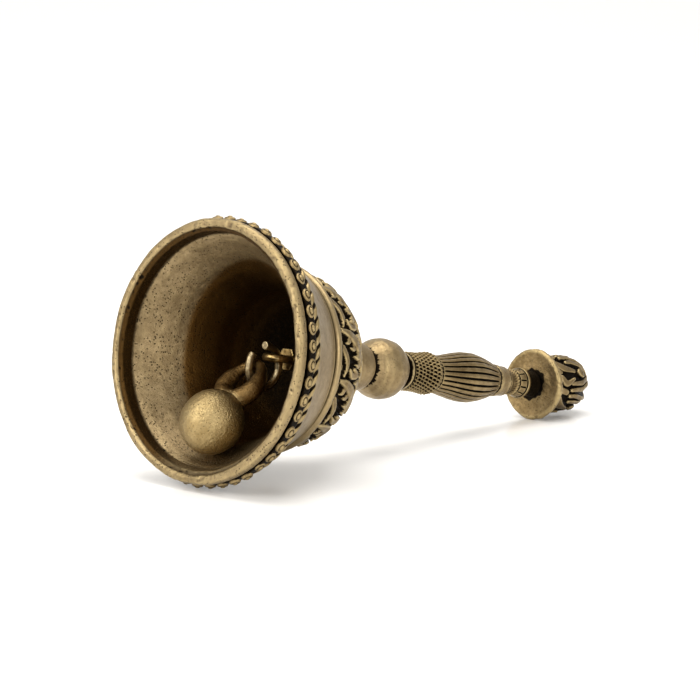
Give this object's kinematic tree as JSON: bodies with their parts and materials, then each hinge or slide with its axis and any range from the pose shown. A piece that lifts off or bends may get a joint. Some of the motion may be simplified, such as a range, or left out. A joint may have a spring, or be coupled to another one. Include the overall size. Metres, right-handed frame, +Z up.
{
  "type": "brass puja bell",
  "caption": "Cast brass hand bell lying on its side: flared cup with beaded lip, carved crown, turned and reeded handle, bud finial, and a clapper on an open link.",
  "frame": {"origin": "the middle of the bell's box, on the surface that it lies on", "axes": "+Z up, +X from the mouth towards the finial, +Y to the side; the bell's own axis dips 10.3 degrees towards the finial"},
  "size_m": [0.1946, 0.0826, 0.0815],
  "materials": {
    "cup_brass": "antiqued cast brass, satin, pitted at the lip, brown patina deep inside",
    "bead_brass": "worn bright on the crests, black patina between",
    "band_brass": "satin, hand polished",
    "carved_brass": "carved, bright edges over near-black patina",
    "handle_brass": "satin, worn by the hand",
    "reeded_brass": "worn reeds with dark grooves",
    "saucer_brass": "rough cast, worn edge",
    "finial_brass": "deeply cut, bright ridges over near-black patina",
    "fitting_brass": "plain cast, slightly bright",
    "clapper_brass": "satin, rubbed bright where it strikes",
    "rod_steel": "plain drawn rod",
    "link_steel": "bent wire, brassy and grey, dull"
  },
  "bodies": {
    "bell": {"bell_cup": "cup_brass", "bead_ring": "bead_brass", "rope_ring": "carved_brass", "waist_ring": "band_brass", "crown_cap": "carved_brass", "crown_collar": "handle_brass", "handle_knob": "handle_brass", "knob_ring": "handle_brass", "weave_sleeve": "carved_brass", "reeded_grip": "reeded_brass", "neck_ring": "handle_brass", "petal_cone": "carved_brass", "saucer": "saucer_brass", "finial": "finial_brass", "tie_rod": "rod_steel", "crown_washer": "fitting_brass", "crown_nut": "fitting_brass"},
    "crown_eye": {"swivel_eye_nut": "fitting_brass"},
    "open_link": {"ring_link": "link_steel"},
    "clapper": {"clapper": "clapper_brass"}
  },
  "joints": [
    {"name": "eye_nut_turn", "type": "hinge", "parent": "bell", "child": "crown_eye", "pos_m": [-0.0523, 0, 0.03471], "axis": [0.9838, 0, -0.1793], "range_deg": [-180, 180]},
    {"name": "link_swing", "type": "hinge", "parent": "crown_eye", "child": "open_link", "pos_m": [-0.0613, 0, 0.03635], "axis": [0, 1, 0], "range_deg": [0, 50]},
    {"name": "clapper_swing", "type": "hinge", "parent": "open_link", "child": "clapper", "pos_m": [-0.06712, 0, 0.03476], "axis": [0, 1, 0], "range_deg": [0, 46]}
  ]
}
